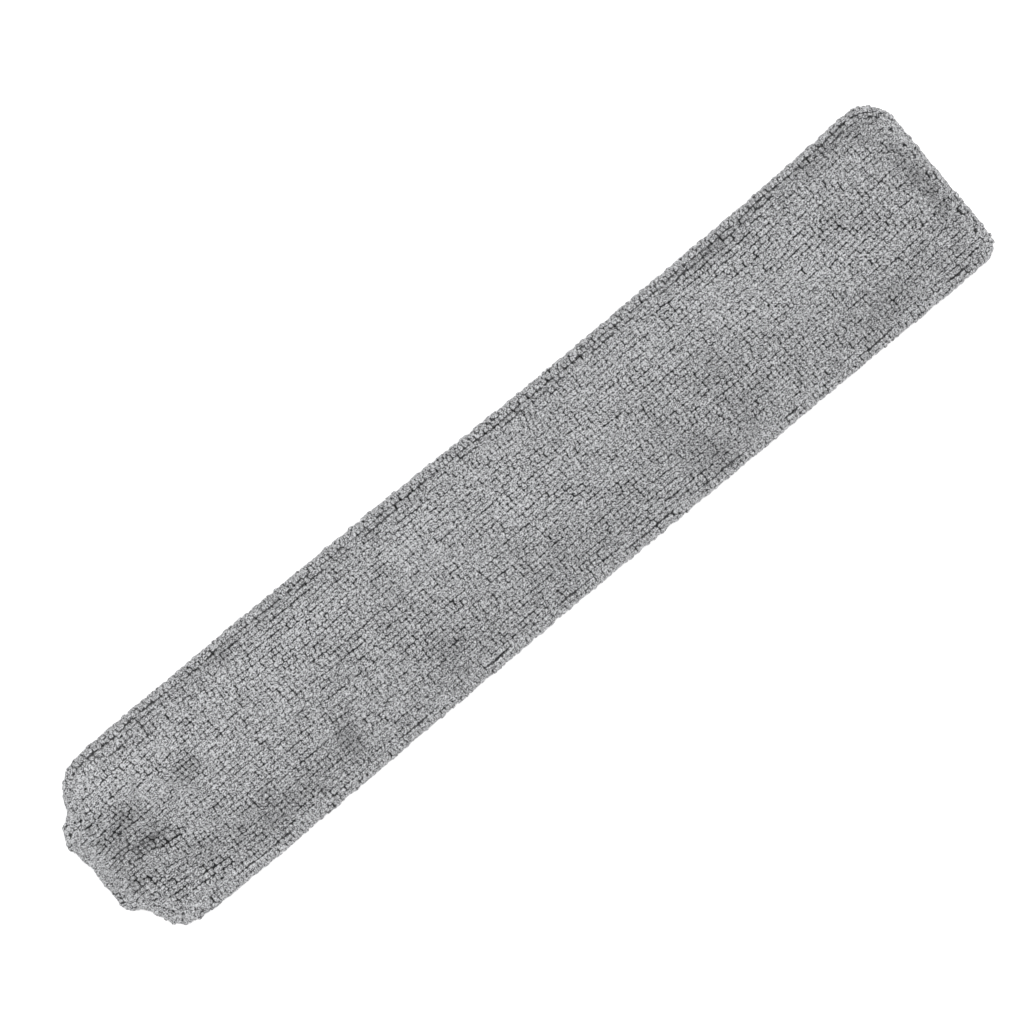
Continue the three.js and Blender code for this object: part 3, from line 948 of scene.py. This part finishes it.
def tuft_tree():
    """Geometry nodes that put a loop of pile on each point of a mesh."""
    numbers = ("Length", "Width", "Height", "Squareness", "Lean", "Twist", "Lumpiness", "Floor")
    nodes, want = new_tree("loops of pile", {
        "Points": "Geometry", **dict.fromkeys(numbers, "Float"), "Sides": "Int", "Seed": "Int",
        "Cloth": "Material",
    }, "Pile")
    place = nodes.get("GeometryNodeInputPosition", "Position")
    shapes = nodes.add("GeometryNodeGeometryToInstance")
    for stretch, hollow in LOOP_SHAPES:
        shape = loop_shape(nodes, want["Sides"], want["Squareness"], place, stretch, hollow)
        nodes.tree.links.new(shape.socket, shapes.inputs[0])

    def chance(low, high, number):
        return nodes.get("FunctionNodeRandomValue", 1, {"data_type": "FLOAT"}, {
            2: low, 3: high, "Seed": want["Seed"] + number,
        })

    vector = {"data_type": "FLOAT_VECTOR"}
    up, along, size = (
        nodes.get("GeometryNodeInputNamedAttribute", "Attribute", vector, {"Name": name})
        for name in ("up", "along", "size")
    )
    axes = {"primary_axis": "Z", "secondary_axis": "X"}
    upright = nodes.get("FunctionNodeAxesToRotation", "Rotation", axes, {
        "Primary Axis": up, "Secondary Axis": along,
    })
    leans = [
        chance(most * -1.0, most, number)
        for number, most in enumerate((want["Lean"], want["Lean"], want["Twist"]))
    ]
    extra = nodes.get("FunctionNodeEulerToRotation", "Rotation", inputs={"Euler": nodes.vector(*leans)})
    turn = nodes.get("FunctionNodeRotateRotation", "Rotation", {"rotation_space": "LOCAL"}, {
        "Rotation": upright, "Rotate By": extra,
    })
    spread = nodes.get("FunctionNodeRandomValue", 0, vector, {
        0: (0.97, 0.97, 0.97), 1: (1.07, 1.06, 1.03), "Seed": want["Seed"] + 5,
    })
    dims = nodes.vector(want["Length"] * 0.5, want["Width"] * 0.5, want["Height"] * 0.5)
    scale = nodes.vector_math("MULTIPLY", nodes.vector_math("MULTIPLY", dims, spread), size)
    which = nodes.get("FunctionNodeRandomValue", 2, {"data_type": "INT"}, {
        4: 0, 5: len(LOOP_SHAPES) - 1, "Seed": want["Seed"] + 7,
    })
    laid = nodes.get("GeometryNodeInstanceOnPoints", "Instances", inputs={
        "Points": want["Points"], "Instance": Value(nodes, shapes.outputs[0]), "Pick Instance": True,
        "Instance Index": which, "Rotation": turn, "Scale": scale,
    })
    laid = stored(nodes, laid, "tone", chance(0.0, 1.0, 9), domain="INSTANCE")
    real = nodes.get("GeometryNodeRealizeInstances", "Geometry", inputs={"Geometry": laid})
    noise = nodes.noise("Color", Scale=LUMPS_PER_METRE, Detail=1.0)
    lumps = nodes.vector_math("SUBTRACT", noise, (0.5, 0.5, 0.5))
    push = nodes.get("ShaderNodeVectorMath", "Vector", {"operation": "SCALE"}, {
        0: lumps, "Scale": want["Lumpiness"],
    })
    shaped = nodes.get("GeometryNodeSetPosition", "Geometry", inputs={"Geometry": real, "Offset": push})
    x, y, z = nodes.axes(place)
    shaped = nodes.get("GeometryNodeSetPosition", "Geometry", inputs={
        "Geometry": shaped, "Position": nodes.vector(x, y, z.math("MAXIMUM", z, want["Floor"])),
    })
    done = nodes.get("GeometryNodeSetMaterial", "Geometry", inputs={
        "Geometry": shaped, "Material": want["Cloth"],
    })
    nodes.add("NodeGroupOutput", inputs={"Pile": done})
    return nodes.tree


def pile(name, tree, points, finish, **sizes):
    """A piece of pile: the loops that the tree puts on the points."""
    places, ups, alongs, scales, painted_lights = points
    data = bpy.data.meshes.new(name)
    data.from_pydata(in_frame(places).tolist(), [], [])
    for label, values in (("up", ups), ("along", alongs), ("size", scales)):
        layer = data.attributes.new(label, "FLOAT_VECTOR", "POINT")
        layer.data.foreach_set("vector", np.asarray(values, np.float32).ravel())
    # Each loop's painted light and shade, for the finish to scale its colour by.
    data.attributes.new("painted_light", "FLOAT", "POINT").data.foreach_set("value", np.asarray(painted_lights, np.float32))
    made = grown(name, data, tree, {
        "Length": TUFT_LENGTH, "Width": TUFT_WIDTH, "Height": TUFT_HEIGHT, "Squareness": TUFT_SQUARENESS,
        "Sides": TUFT_SIDES, "Lean": TUFT_LEAN, "Twist": TUFT_TWIST, "Lumpiness": LUMPINESS,
        "Floor": LEAST_HEIGHT, "Cloth": finish, **sizes,
    })
    return dressed(made, finish, "cloth")


def front_painted_light(places):
    """Painted light and shade at each place on the front: across the width, brighter at the hem, and in
    patches.
    """
    s, y = places[:, 0], places[:, 1]
    painted_light = shared(PAINTED_LIGHT_ACROSS, y / HALF_WIDTH) * (1 + PAINTED_LIGHT_HEM * (1 - smooth(FACING_DEPTH, HEM_END, s)))
    for along, across, reach_s, reach_y, more in PAINTED_LIGHT_PATCHES:
        patch = np.exp(-(((s - along) / reach_s) ** 2) - ((y - across) / reach_y) ** 2)
        painted_light *= 1 + PAINTED_PATCH_STRENGTH * more * patch
    return painted_light


def slopes(height, points):
    """Upward normals and tangents along the sleeve of a height over the plan."""
    along = np.array([SLOPE_STEP, 0])
    across = np.array([0, SLOPE_STEP])
    ds = (height(points + along) - height(points - along)) / (2 * SLOPE_STEP)
    dy = (height(points + across) - height(points - across)) / (2 * SLOPE_STEP)
    ups = np.stack([-ds, -dy, np.ones_like(ds)], 1)
    ups /= np.linalg.norm(ups, axis=1)[:, None]
    return ups, np.stack([np.ones_like(ds), np.zeros_like(ds), ds], 1)


def front_border(body, side):
    """How far inside a long edge the field of rows on the front starts."""
    return np.interp(body, SEAM_SHARES_PLACE, SEAM_INSET[side]) + ROW_FROM_SEAM[side] + FRONT_BORDER


def back_border(body, side):
    """How far inside a long edge the field of rows on the underside starts."""
    return np.full_like(body, BACK_BORDER)


def row_y(s, share, border):
    """Where a row of loops runs: spread evenly across the body, and drawn together towards the gathers."""
    body = np.maximum(s, SHOULDER_END) / LENGTH
    upper = HALF_WIDTH * shared(UPPER_EDGE_SHARES, body) - border(body, 1)
    lower = -HALF_WIDTH * shared(LOWER_EDGE_SHARES, body) + border(body, -1)
    draw = GATHERED_SHARE * (1 - smooth(GATHER_LINE, GATHERED_END, s))
    return (lower + (upper - lower) * share) * (1 - draw * (1 - np.abs(2 * share - 1) ** 3))


def wandering(random, count, reach, size):
    """A smooth random wander along a row of loops. It changes over a reach of so many loops."""
    window = np.hanning(reach + 2)[1:-1]
    wander = np.convolve(random.normal(0, 1, count + reach - 1), window, mode="valid")
    return size * wander / np.sqrt((window**2).sum())


def rippled(s, y, ripples):
    """The sum of ripples over the plan."""
    return sum(size * np.sin(s / along + y / across) for size, along, across in ripples)


def rows_of_loops(random, columns, border):
    """Places of loops in rows along the sleeve, and each row's width there as a share of its usual one."""
    middle = np.array([LENGTH / 2])
    count = int(round((row_y(middle, 1, border) - row_y(middle, 0, border))[0] / TUFT_ACROSS))
    places = []
    widths = []
    slips = np.cumsum(random.normal(0, ROW_SLIP, count))
    for row in range(count):
        share = (row + 0.5) / count
        y = row_y(columns, share, border)
        drift = rippled(columns, y, ROW_DRIFT) * (1 - abs(2 * share - 1) ** 4)
        drift += rippled(columns, y, ROW_SHAKE)
        s = columns - ROW_SLANT * y + rippled(columns, y, ROW_SHIFT) + slips[row]
        s += rippled(columns, y, ROW_STAGGER) + wandering(random, len(columns), *ROW_WANDER[0])
        drift += wandering(random, len(columns), *ROW_WANDER[1])
        places.append(np.stack([s, row_y(s, share, border) + drift], 1))
        step = row_y(s, share + 0.5 / count, border) - row_y(s, share - 0.5 / count, border)
        widths.append(step / TUFT_ACROSS)
    places = np.concatenate(places)
    return places + random.normal(0, LOOP_JITTER, places.shape), np.concatenate(widths)


def lying(places, ups):
    """The pile's lie: the loops lean one way in some patches and another way in others."""
    s, y = places[:, 0], places[:, 1]
    lean_s = LEAN_LARGE * np.sin(s / 0.0105 + 2.0 * np.sin(y / 0.014))
    lean_y = LEAN_LARGE * np.sin(y / 0.0093 + 1.7 * np.sin(s / 0.017))
    lean_s = lean_s + LEAN_SMALL * np.sin(s / 0.0061 - y / 0.0087)
    lean_y = lean_y + LEAN_SMALL * np.cos(s / 0.0053 + y / 0.0071)
    leaned = ups + np.stack([lean_s, lean_y, np.zeros_like(s)], 1)
    return leaned / np.linalg.norm(leaned, axis=1)[:, None]


def parted(places):
    """Loops moved off the bottom lines of the creases, and how much smaller the ones beside them are."""
    places = places.copy()
    smaller = np.ones(len(places))
    for start, end, depth, _ in CREASES:
        step = np.array(end) - np.array(start)
        normal = np.array([-step[1], step[0]]) / np.linalg.norm(step)
        off = (places - start) @ normal
        share = (places - start) @ step / (step @ step)
        within = (share > 0) & (share < 1)
        reach = BESIDE_CREASE * min(depth / FULL_CREASE, 1)
        near = (np.abs(off) < reach) & within
        places[near] += normal * (np.where(off < 0, -reach, reach) - off)[near, None]
        smaller[(np.abs(off) < 2 * reach) & within] = BESIDE_SIZE
    return places, smaller


def bare_spots(centres):
    """Places on the front, inside the seam, that no loop covers yet."""
    places = np.arange(MOUTH_START, LENGTH, BARE_STEP), np.arange(-HALF_WIDTH, HALF_WIDTH, BARE_STEP)
    spots = np.stack(np.meshgrid(*places), 2).reshape(-1, 2)
    gap, nearest = nearest_outline(spots)
    hem = spots[:, 0] < SEAM_FLAT
    kept = gap - SEAM_INSETS[nearest] > np.where(hem, -ROW_GAPS[nearest], ROW_GAPS[nearest])
    spots, beside = spots[kept], gap[kept] < SEAM_SIDE
    known = KDTree(len(centres))
    for number, centre in enumerate(in_frame(centres)):
        known.insert(centre, number)
    known.balance()
    far = np.array([known.find(place)[2] for place in in_frame(over(spots, front_z))])
    ends = (spots[:, 0] < GATHER_LINE) | (spots[:, 0] > LENGTH - CORNER_RADIUS[1])
    ends |= beside & (spots[:, 0] < SHOULDER_END)
    reach = np.where(ends, BARE_REACH_ENDS, np.where(beside, BARE_REACH_BESIDE, BARE_REACH))
    reach[spots[:, 0] < MOUTH_START + LIP_WIDTH] = BARE_REACH_LIP
    order = np.argsort(-far)
    found = []
    for number in order[far[order] > reach[order]]:
        if all(math.dist(spots[number], other) > reach[number] for other in found):
            found.append(spots[number])
    return np.array(found).reshape(-1, 2)


def front_points(random, others):
    """Loops of the front panel, given the centres of the loops round it."""
    columns = np.arange(LENGTH - TIP_SEAM_INSET - ROW_FROM_SEAM[0], MOUTH_START - TUFT_ALONG * 2, -TUFT_ALONG)
    places, widths = rows_of_loops(random, columns, front_border)
    gap, nearest = nearest_outline(places)
    kept = gap - SEAM_INSETS[nearest] > ROW_GAPS[nearest] + FIELD_GAP
    kept &= places[:, 0] > MOUTH_START + FIRST_LOOP
    places, smaller = parted(places[kept])
    ring, ring_along = seam_row(random)
    spots = bare_spots(np.concatenate([over(places, front_z), over(ring, front_z), *others]))
    field = np.concatenate([places, spots])
    ups, alongs = slopes(front_z, np.concatenate([field, ring]))
    alongs[len(field):, :2] = ring_along
    alongs[len(field):, 2] = 0
    widths = np.concatenate([widths[kept], np.full(len(spots), FILLED_WIDTH), np.ones(len(ring))])
    smaller = np.concatenate([smaller, np.ones(len(spots) + len(ring))])
    places = np.concatenate([field, ring])
    smaller *= 1 - OPEN_SHARE * np.clip(-relief(*places.T) / OPEN_DEPTH, 0, 1)
    steep = np.minimum(np.hypot(1, ups[:, :2] / ups[:, 2:]), STEEPEST)
    steep[len(field):] = 1
    sizes = np.stack([smaller * steep[:, 0], smaller * widths * steep[:, 1], np.ones_like(widths)], 1)
    centres = over(places, front_z) - ups * TUFT_SINK
    return centres, lying(places, ups), alongs, sizes, front_painted_light(places)


def seam_row(random):
    """A row of loops just inside the seam."""
    line = seam_ring(ROW_GAPS)
    run, tangent = run_along(line)
    here = np.arange(TUFT_ALONG / 2, run[-1], TUFT_ALONG)
    here = here + random.normal(0, STEP_JITTER, len(here))
    places = np.stack([np.interp(here, run, column) for column in line.T], 1)
    along = np.stack([np.interp(here, run, column) for column in tangent.T], 1)
    return places + random.normal(0, LINE_JITTER, places.shape), along


def back_points(random):
    """Loops of the flat underside."""
    columns = np.arange(LENGTH - BACK_TIP_BORDER, MOUTH_START - TUFT_ALONG, -TUFT_ALONG)
    places, widths = rows_of_loops(random, columns, back_border)
    gap, _ = nearest_outline(places)
    kept = (gap > BACK_BORDER) & (places[:, 0] > MOUTH_START + FIRST_LOOP)
    places, widths = places[kept], widths[kept]
    ups, alongs = slopes(back_z, places)
    centres = over(places, back_z) + ups * TUFT_SINK
    sizes = np.stack([np.ones_like(widths), widths, np.ones_like(widths)], 1)
    return centres, -ups, alongs, sizes, np.full(len(centres), PAINTED_LIGHT_OFF_FRONT)


def rim_points(random):
    """Loops on the rolled edge, in rows that follow the seam from just outside it to the underside."""
    dense = outline(PILE_REACH)
    run, tangent = run_along(dense)
    outward = np.stack([-tangent[:, 1], tangent[:, 0]], 1)
    radius = roll_radius(dense[:, 0])
    columns = (*dense.T, *tangent.T, *outward.T, radius, seam_angle(radius), ROW_GAPS)
    found = []
    for row in range(RIM_ROWS):
        here = np.arange(TUFT_ALONG * (0.5 + 0.5 * (row % 2)), run[-1], TUFT_ALONG)
        here = here + random.normal(0, STEP_JITTER, len(here))
        read = [np.interp(here, run, column) for column in columns]
        s, y, along_s, along_y, out_s, out_y, r, top, off = read
        first = top - off / (r + PILE_REACH)
        turn = first + (-RIM_END - first) * row / (RIM_ROWS - 1)
        turn = turn + random.normal(0, RIM_TURN_JITTER, len(here))
        inset = r * (1 - np.cos(turn))
        up = np.stack([out_s * np.cos(turn), out_y * np.cos(turn), np.sin(turn)], 1)
        centre = np.stack([s - out_s * inset, y - out_y * inset, middle_z(s) + r * np.sin(turn)], 1)
        centre += up * random.uniform(-RIM_UNEVENNESS, RIM_UNEVENNESS, len(here))[:, None]
        along = np.stack([along_s, along_y, np.zeros_like(s)], 1)
        found.append((centre, up, along))
    centres, ups, alongs = (np.concatenate(part) for part in zip(*found))
    # Painted light on the rolled edge: loops that face the upper edge are painted darker, loops that face the
    # lower edge lighter.
    return centres - ups * TUFT_SINK, ups, alongs, np.ones_like(centres), PAINTED_LIGHT_OFF_FRONT - PAINTED_LIGHT_RIM_SIDE * ups[:, 1]


def mouth_points(random):
    """Loops round the fold of the hem, all round the mouth, and a little way inside it."""
    radius = FACING_INSET / 2
    forward = np.array([-1.0, 0, 0])
    stations = np.arange(MOUTH_STATIONS + 1) / MOUTH_STATIONS
    found = []
    for turn, inside in MOUTH_ROWS:
        angle = math.radians(turn)
        depth = radius * (1 - math.cos(angle))
        fine = section_loop(MOUTH_START, depth, stations[:-1])
        run = run_along(np.concatenate([fine, fine[:1]]))[0]
        count = int(run[-1] / MOUTH_PITCH)
        shares = np.interp((np.arange(count) + 0.5) * run[-1] / count, run, stations)
        centre = section_loop(MOUTH_START, depth, shares)
        outward = section_loop(MOUTH_START, 0, shares) - section_loop(MOUTH_START, SLOPE_STEP, shares)
        outward /= np.maximum(np.linalg.norm(outward, axis=1), 1e-9)[:, None]
        up = outward * math.cos(angle) + forward * math.sin(angle)
        centre = centre + forward * (radius * math.sin(angle) - inside)
        found.append((centre + random.normal(0, MOUTH_JITTER, centre.shape), up, np.cross(outward, forward)))
    centres, ups, alongs = (np.concatenate(part) for part in zip(*found))
    sizes = np.full_like(centres, MOUTH_TUFT_SIZE)
    # Painted light: the mouth's loops are painted brighter, as at the hem.
    return centres - ups * TUFT_SINK, ups, alongs, sizes, np.full(len(centres), PAINTED_LIGHT_OFF_FRONT + PAINTED_LIGHT_HEM)


def banded(points, count):
    """The points shared out in bands along the sleeve."""
    edges = np.quantile(points[0][:, 0], np.linspace(0, 1, count + 1))
    band = np.clip(np.searchsorted(edges, points[0][:, 0], side="right") - 1, 0, count - 1)
    return [tuple(values[band == number] for values in points) for number in range(count)]


def pile_pieces(name, tree, points, count, finish, seed, **sizes):
    """A field of loops as a few pieces along the sleeve."""
    return [
        pile(f"{name}_{number}", tree, part, finish, Seed=seed + number, **sizes)
        for number, part in enumerate(banded(points, count), 1)
    ]


def new_finish(name):
    """An empty material, and its nodes."""
    material = bpy.data.materials.new(name)
    material.use_nodes = True
    material.node_tree.nodes.clear()
    return material, Nodes(material.node_tree)


def blended(nodes, share, colours):
    """Between two colours, by a share."""
    return nodes.get("ShaderNodeMix", 2, {"data_type": "RGBA"}, {0: share, 6: colours[0], 7: colours[1]})


def surfaced(nodes, height, bump, inputs):
    """The finish's surface, with a bump of a strength and distance that follows a height."""
    strength, distance = bump
    normal = nodes.get("ShaderNodeBump", "Normal", inputs={
        "Strength": strength, "Distance": distance, "Height": height,
    })
    surface = nodes.get("ShaderNodeBsdfPrincipled", "BSDF", inputs={**inputs, "Normal": normal})
    nodes.add("ShaderNodeOutputMaterial", inputs={"Surface": surface})


def streaks(nodes, strand, own, drawn):
    """Streaks that run along a loop, different on every loop."""
    place = nodes.vector_math("ADD", nodes.vector_math("MULTIPLY", strand, drawn), own)
    return nodes.noise("Fac", Vector=place, Scale=1.25, Detail=1.0, Roughness=0.6, Distortion=0.4)


def pile_finish():
    """Microfibre loops with fine fibres, painted with shade that darkens each loop towards its foot and
    between the loops, and scaled by each place's painted light and shade.
    """
    material, nodes = new_finish("looped microfibre with painted shade")
    tip, tone, painted_light = (nodes.attribute(name) for name in ("tip", "tone", "painted_light"))
    strand = nodes.attribute("strand", "Vector")
    place = nodes.get("ShaderNodeTexCoord", "Object")
    patches = nodes.noise("Fac", Vector=place, Scale=55.0, Detail=1.0, Roughness=0.5)
    own = nodes.vector(tone * 91.0, tone * 57.0, tone * 33.0)
    strands = streaks(nodes, strand, own, (1.4, 2.7, 1.5))
    hairs = streaks(nodes, strand, own, (2.6, 5.4, 2.8))
    # Painted shade: the colour darkens towards each loop's foot, to near black between the loops.
    level = tip + (patches - 0.5) * 0.06 + (strands - 0.5) * 0.10
    depth = nodes.get("ShaderNodeMapRange", 0, {"interpolation_type": "SMOOTHSTEP"}, {
        0: level, 1: 0.69, 2: 0.87, 3: 0.0, 4: 1.0,
    })
    fibres = nodes.get("ShaderNodeMapRange", 0, {}, {0: strands, 1: 0.40, 2: 0.58, 3: 0.06, 4: 1.16})
    fibres = fibres * (hairs * 2.8 - 0.32)
    # Each place's painted light and shade scales the colour.
    light = depth * (tone * 0.10 + 0.95) * (patches * 0.14 + 0.93) * fibres * painted_light
    surfaced(nodes, fibres, (0.8, 0.0004), {
        "Base Color": blended(nodes, light, PAINTED_SHADE_TO_FIBRE_COLOURS), "Roughness": 0.95, "Sheen Weight": 0.45,
        "Sheen Roughness": 0.5, "Specular IOR Level": 0.2,
    })
    return material


def painted_shade_ground_finish():
    """The cloth's ground knit, painted near black as the shade between the loops, the only place where it
    shows.
    """
    material, nodes = new_finish("knitted ground in painted shade")
    place = nodes.get("ShaderNodeTexCoord", "Object")
    knit = nodes.get("ShaderNodeTexVoronoi", "Distance", inputs={"Vector": place, "Scale": 900.0})
    surfaced(nodes, knit, (0.6, 0.0003), {
        "Base Color": blended(nodes, knit, PAINTED_SHADE_GROUND_COLOURS), "Roughness": 0.95, "Specular IOR Level": 0.2,
    })
    return material


def thread_finish():
    """Grey polyester thread, two plies twisted."""
    material, nodes = new_finish("grey thread")
    place = nodes.get("ShaderNodeTexCoord", "Object")
    twist = nodes.get("ShaderNodeTexWave", "Fac", {"bands_direction": "DIAGONAL"}, {
        "Vector": place, "Scale": 700.0, "Distortion": 1.5, "Detail": 1.0,
    })
    surfaced(nodes, twist, (0.6, 0.0001), {
        "Base Color": blended(nodes, twist, THREAD_COLOURS), "Roughness": 0.55,
    })
    return material


def elastic_finish():
    """Woven elastic: pale cords with darker yarn across them."""
    material, nodes = new_finish("woven elastic")
    place = nodes.get("ShaderNodeTexCoord", "Object")
    yarn = nodes.get("ShaderNodeTexWave", "Fac", {"bands_direction": "Y"}, {
        "Vector": place, "Scale": 260.0, "Distortion": 2.0, "Detail": 2.0, "Detail Scale": 3.0,
    })
    rough = nodes.get("ShaderNodeMapRange", 0, {}, {0: yarn, 3: 0.62, 4: 0.8})
    surfaced(nodes, yarn, (0.5, 0.0001), {
        "Base Color": blended(nodes, yarn, ELASTIC_COLOURS), "Roughness": rough,
    })
    return material


def dressed(made, finish, slot, *nodes):
    """The piece with its finish, its body and the nodes that it stands for. Its slot is not used."""
    made.data.materials.clear()
    made.data.materials.append(finish)
    for face in made.data.polygons:
        face.use_smooth = True
    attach(made, "root")
    if nodes:
        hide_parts(*nodes)
    return made


def floor():
    """A pale floor that the camera sees as white, with the sleeve's shadow on it."""
    material, nodes = new_finish("pale floor")
    seen = nodes.get("ShaderNodeLightPath", "Is Camera Ray")
    board = nodes.get("ShaderNodeBsdfDiffuse", "BSDF", inputs={"Color": FLOOR_COLOUR})
    glow = nodes.get("ShaderNodeEmission", "Emission", inputs={"Color": WHITE, "Strength": FLOOR_GLOW})
    lit = nodes.get("ShaderNodeAddShader", "Shader", inputs={0: board, 1: glow})
    surface = nodes.get("ShaderNodeMixShader", "Shader", inputs={0: seen, 1: board, 2: lit})
    nodes.add("ShaderNodeOutputMaterial", inputs={"Surface": surface})
    bpy.ops.mesh.primitive_plane_add(size=FLOOR_SIZE)
    made = bpy.context.object
    made.name = "floor"
    made.data.materials.append(material)


def lights():
    """An even sky that is white where it is seen, and a soft sun from above."""
    world = bpy.data.worlds.new("studio")
    bpy.context.scene.world = world
    world.use_nodes = True
    world.node_tree.nodes.clear()
    nodes = Nodes(world.node_tree)
    path = nodes.add("ShaderNodeLightPath")
    seen, glossy, through = (
        Value(nodes, path.outputs[f"Is {kind} Ray"]) for kind in ("Camera", "Glossy", "Transmission")
    )
    shown = seen.math("MAXIMUM", seen.math("MAXIMUM", seen, glossy), through)
    light, backdrop = (
        nodes.get("ShaderNodeBackground", "Background", inputs={"Color": WHITE, "Strength": strength})
        for strength in (SKY_STRENGTH, 1.0)
    )
    surface = nodes.get("ShaderNodeMixShader", "Shader", inputs={0: shown, 1: light, 2: backdrop})
    nodes.add("ShaderNodeOutputWorld", inputs={"Surface": surface})
    sun = bpy.data.lights.new("key", "SUN")
    sun.energy = SUN_STRENGTH
    sun.angle = math.radians(SUN_ANGLE)
    key = placed("key", sun)
    key.rotation_mode = "QUATERNION"
    key.rotation_quaternion = Vector(SUN_FROM).to_track_quat("Z", "Y")


def camera():
    """The camera straight above, turned by the slant of the sleeve in the photograph."""
    data = bpy.data.cameras.new("camera")
    data.lens = LENS
    made = placed("camera", data)
    distance = PHOTO_SIZE * METRES_PER_PIXEL * LENS / data.sensor_width
    made.location = (AIM[0], AIM[1], distance + BODY_HEIGHT / 2)
    made.rotation_euler = (0, 0, -math.radians(SLANT))
    bpy.context.scene.camera = made


def main():
    random = np.random.default_rng(SEED)
    loops = pile_finish()
    ground = painted_shade_ground_finish()
    tree = tuft_tree()
    rim, mouth = rim_points(random), mouth_points(random)
    front = dressed(front_cloth(), ground, "cloth", "front_panel")
    back = dressed(back_cloth(), ground, "cloth", "back_panel")
    field = front_points(random, [rim[0], mouth[0]])
    front_pile = pile_pieces("front_pile", tree, field, 4, loops, SEED, Sides=FRONT_TUFT_SIDES)
    rim_pile = pile_pieces("edge_pile", tree, rim, 2, loops, RIM_SEED, Length=RIM_TUFT_LENGTH)
    back_pile = pile_pieces("back_pile", tree, back_points(random), 2, loops, BACK_SEED)
    elastic(elastic_finish())
    threads(thread_finish())
    mouth_pile = pile("mouth_pile", tree, mouth, loops, Seed=MOUTH_SEED)
    floor()
    lights()
    camera()


main()
bpy.context.scene.view_settings.view_transform = "Standard"
